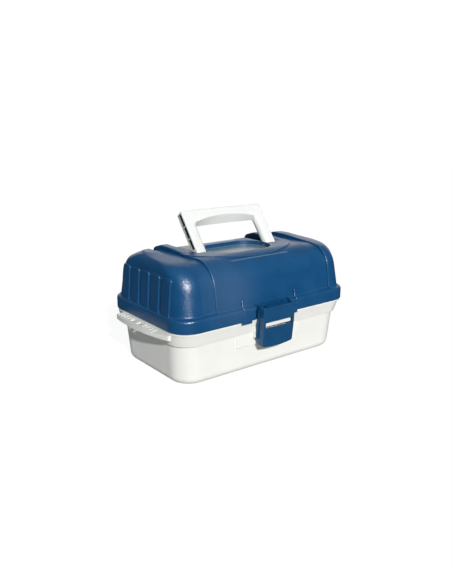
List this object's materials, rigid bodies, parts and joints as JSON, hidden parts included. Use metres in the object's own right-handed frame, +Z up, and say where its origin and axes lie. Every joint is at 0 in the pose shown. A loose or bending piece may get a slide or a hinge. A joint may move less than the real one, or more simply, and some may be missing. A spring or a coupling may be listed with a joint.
{
  "type": "tackle box",
  "caption": "Two-tray tackle box with a domed hinged lid, front latch, folding handle, cantilever trays and a slotted rack on each end.",
  "frame": {"origin": "middle of the flat bottom of the tub", "axes": "+X to the right seen from the latch side, +Y towards the hinge, +Z up"},
  "size_m": [0.3796, 0.236, 0.2432],
  "materials": {
    "blue_plastic": "moulded, fine grain",
    "white_plastic": "moulded, plain",
    "tray_plastic": "moulded, plain",
    "divider_plastic": "thin sheet",
    "plated_steel": "zinc plated"
  },
  "bodies": {
    "base": {"base_shell": "white_plastic", "bait_rack_left": "white_plastic", "bait_rack_right": "white_plastic", "hinge_pins": "plated_steel", "base_arm_rivets": "plated_steel"},
    "lid": {"lid_shell": "blue_plastic", "latch_pin": "plated_steel", "handle_pins": "plated_steel", "tray_hanger_left": "plated_steel", "tray_hanger_right": "plated_steel", "hanger_rivets": "plated_steel", "tray_pivot_rivets": "plated_steel"},
    "lower_tray_set": {"lower_tray": "tray_plastic", "lower_tray_partition": "divider_plastic", "lower_tray_dividers": "divider_plastic", "lower_arm_rivets": "plated_steel"},
    "upper_tray_set": {"upper_tray": "tray_plastic", "upper_tray_partition": "divider_plastic", "upper_tray_dividers": "divider_plastic", "upper_arm_rivets": "plated_steel"},
    "arm_left": {"tray_arm_left": "plated_steel"},
    "arm_right": {"tray_arm_right": "plated_steel"},
    "latch_body": {"latch": "blue_plastic"},
    "handle_body": {"handle": "white_plastic"}
  },
  "joints": [
    {"name": "lid_hinge", "type": "hinge", "parent": "base", "child": "lid", "pos_m": [0, 0.111, 0.0874], "axis": [-1, 0, 0], "range_deg": [0, 100]},
    {"name": "lower_tray_pivot", "type": "hinge", "parent": "lid", "child": "lower_tray_set", "pos_m": [0, 0.06441, 0.10814], "axis": [-1, 0, 0], "range_deg": [-100, 0]},
    {"name": "upper_tray_pivot", "type": "hinge", "parent": "lid", "child": "upper_tray_set", "pos_m": [0, 0.02513, 0.12563], "axis": [-1, 0, 0], "range_deg": [-100, 0]},
    {"name": "arm_left_pivot", "type": "hinge", "parent": "base", "child": "arm_left", "pos_m": [0, 0.081, 0.0824], "axis": [-1, 0, 0], "range_deg": [0, 100]},
    {"name": "arm_right_pivot", "type": "hinge", "parent": "base", "child": "arm_right", "pos_m": [0, 0.081, 0.0824], "axis": [-1, 0, 0], "range_deg": [0, 100]},
    {"name": "latch_hinge", "type": "hinge", "parent": "lid", "child": "latch_body", "pos_m": [0, -0.111, 0.1011], "axis": [-1, 0, 0], "range_deg": [0, 90]},
    {"name": "handle_hinge", "type": "hinge", "parent": "lid", "child": "handle_body", "pos_m": [0, -0.011, 0.1787], "axis": [-1, 0, 0], "range_deg": [-37, 45]}
  ],
  "couplings": [
    {"joint": "lower_tray_pivot", "follows": "lid_hinge", "ratio": -1},
    {"joint": "upper_tray_pivot", "follows": "lid_hinge", "ratio": -1},
    {"joint": "arm_left_pivot", "follows": "lid_hinge", "ratio": 1},
    {"joint": "arm_right_pivot", "follows": "lid_hinge", "ratio": 1}
  ]
}
